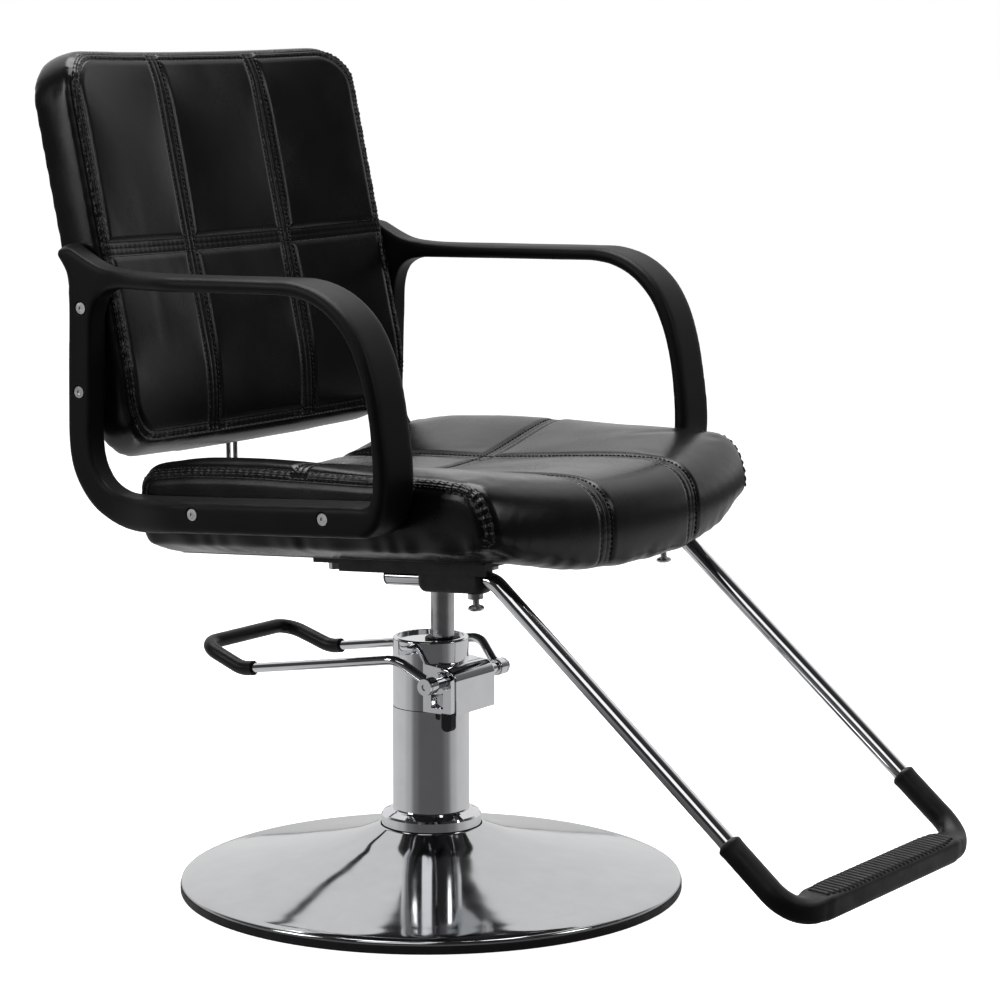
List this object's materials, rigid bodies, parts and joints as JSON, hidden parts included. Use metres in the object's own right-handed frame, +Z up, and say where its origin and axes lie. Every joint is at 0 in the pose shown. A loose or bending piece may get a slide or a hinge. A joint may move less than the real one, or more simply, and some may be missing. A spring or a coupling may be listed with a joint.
{
  "type": "styling chair",
  "caption": "Hydraulic styling chair: padded seat and back with loop arms on a foot-pumped lift column with a round chrome base and a U-shaped footrest.",
  "frame": {"origin": "centre of the round base, on the floor", "axes": "+Z up, the sitter faces -Y, +X towards the sitter's left side"},
  "size_m": [0.562, 0.8598, 0.8266],
  "materials": {
    "base_chrome": "mirror-polished chrome on spun steel",
    "chrome": "bright chrome",
    "ground_steel": "ground and polished hydraulic rod",
    "plain_steel": "zinc-plated steel",
    "cast_plate": "black painted plate",
    "black_steel": "black powder coat",
    "bush_brass": "machined",
    "black_rubber": "moulded satin rubber",
    "black_plastic": "moulded",
    "arm_plastic": "fine-grained satin moulding",
    "upholstery": "glossy black vinyl leather",
    "dust_cloth": "thin non-woven cloth",
    "plywood": "unfinished plywood"
  },
  "bodies": {
    "base": {"base_gasket": "black_rubber", "base_dome": "base_chrome", "ballast_plate": "cast_plate", "column_foot": "plain_steel", "foot_bolts": "plain_steel", "column_collar": "chrome", "pump_column": "chrome", "inner_cylinder": "plain_steel", "pump_head": "chrome", "rod_bush": "bush_brass", "rod_wiper_seal": "black_rubber", "oil_filler_screw": "plain_steel", "valve_plug": "plain_steel"},
    "piston": {"piston_rod": "ground_steel", "piston_head": "plain_steel"},
    "pedal": {"pedal_shaft": "chrome", "pedal_collar_right": "chrome", "pedal_collar_left": "chrome", "shaft_end_cap_right": "chrome", "shaft_end_cap_left": "chrome", "pedal_bar": "chrome", "pedal_grip": "black_rubber", "stop_arm": "chrome", "stop_arm_tip": "black_rubber"},
    "seat": {"hub_socket": "black_steel", "hub_gussets": "black_steel", "mount_plate": "black_steel", "frame_bolts": "black_steel", "footrest_sleeve_right": "black_steel", "footrest_sleeve_left": "black_steel", "clamp_nut_right": "black_steel", "clamp_nut_left": "black_steel", "seat_cushion": "upholstery", "seat_tray": "plywood", "seat_dust_cover": "dust_cloth", "back_cushion": "upholstery", "back_shell": "plywood", "back_cover": "upholstery", "back_brace": "chrome", "brace_clamp_upper": "black_steel", "brace_clamp_upper_screws": "plain_steel", "brace_clamp_lower": "black_steel", "brace_clamp_lower_screws": "plain_steel", "armrest_right": "arm_plastic", "armrest_left": "arm_plastic", "arm_screws_right": "plain_steel", "arm_screws_left": "plain_steel", "back_bracket_right": "black_steel", "back_bracket_left": "black_steel", "bracket_screws_right": "plain_steel", "bracket_screws_left": "plain_steel"},
    "footrest": {"footrest_tube": "chrome", "footrest_plugs": "black_plastic", "footrest_rubber": "black_rubber"},
    "thumb_right": {"thumb_screw_right": "plain_steel"},
    "thumb_left": {"thumb_screw_left": "plain_steel"}
  },
  "joints": [
    {"name": "piston_lift", "type": "slide", "parent": "base", "child": "piston", "axis": [0, 0, 1], "range_m": [0, 0.12]},
    {"name": "seat_swivel", "type": "hinge", "parent": "piston", "child": "seat", "pos_m": [0, -0.0145, 0.33], "axis": [0, 0, 1], "continuous": true},
    {"name": "footrest_slide", "type": "slide", "parent": "seat", "child": "footrest", "axis": [0, -0.998, 0.0628], "range_m": [0, 0.03]},
    {"name": "thumb_right_turn", "type": "hinge", "parent": "seat", "child": "thumb_right", "pos_m": [-0.1634, -0.16971, 0.32669], "axis": [0, 0.0628, 0.998], "range_deg": [-360, 0]},
    {"name": "thumb_left_turn", "type": "hinge", "parent": "seat", "child": "thumb_left", "pos_m": [0.1634, -0.16971, 0.32669], "axis": [0, 0.0628, 0.998], "range_deg": [-360, 0]},
    {"name": "pump_pedal", "type": "hinge", "parent": "base", "child": "pedal", "pos_m": [0, -0.0408, 0.2172], "axis": [1, 0, 0], "range_deg": [-22, 0], "stiffness_Nm_per_rad": 3.5, "springref_deg": 22.92}
  ]
}
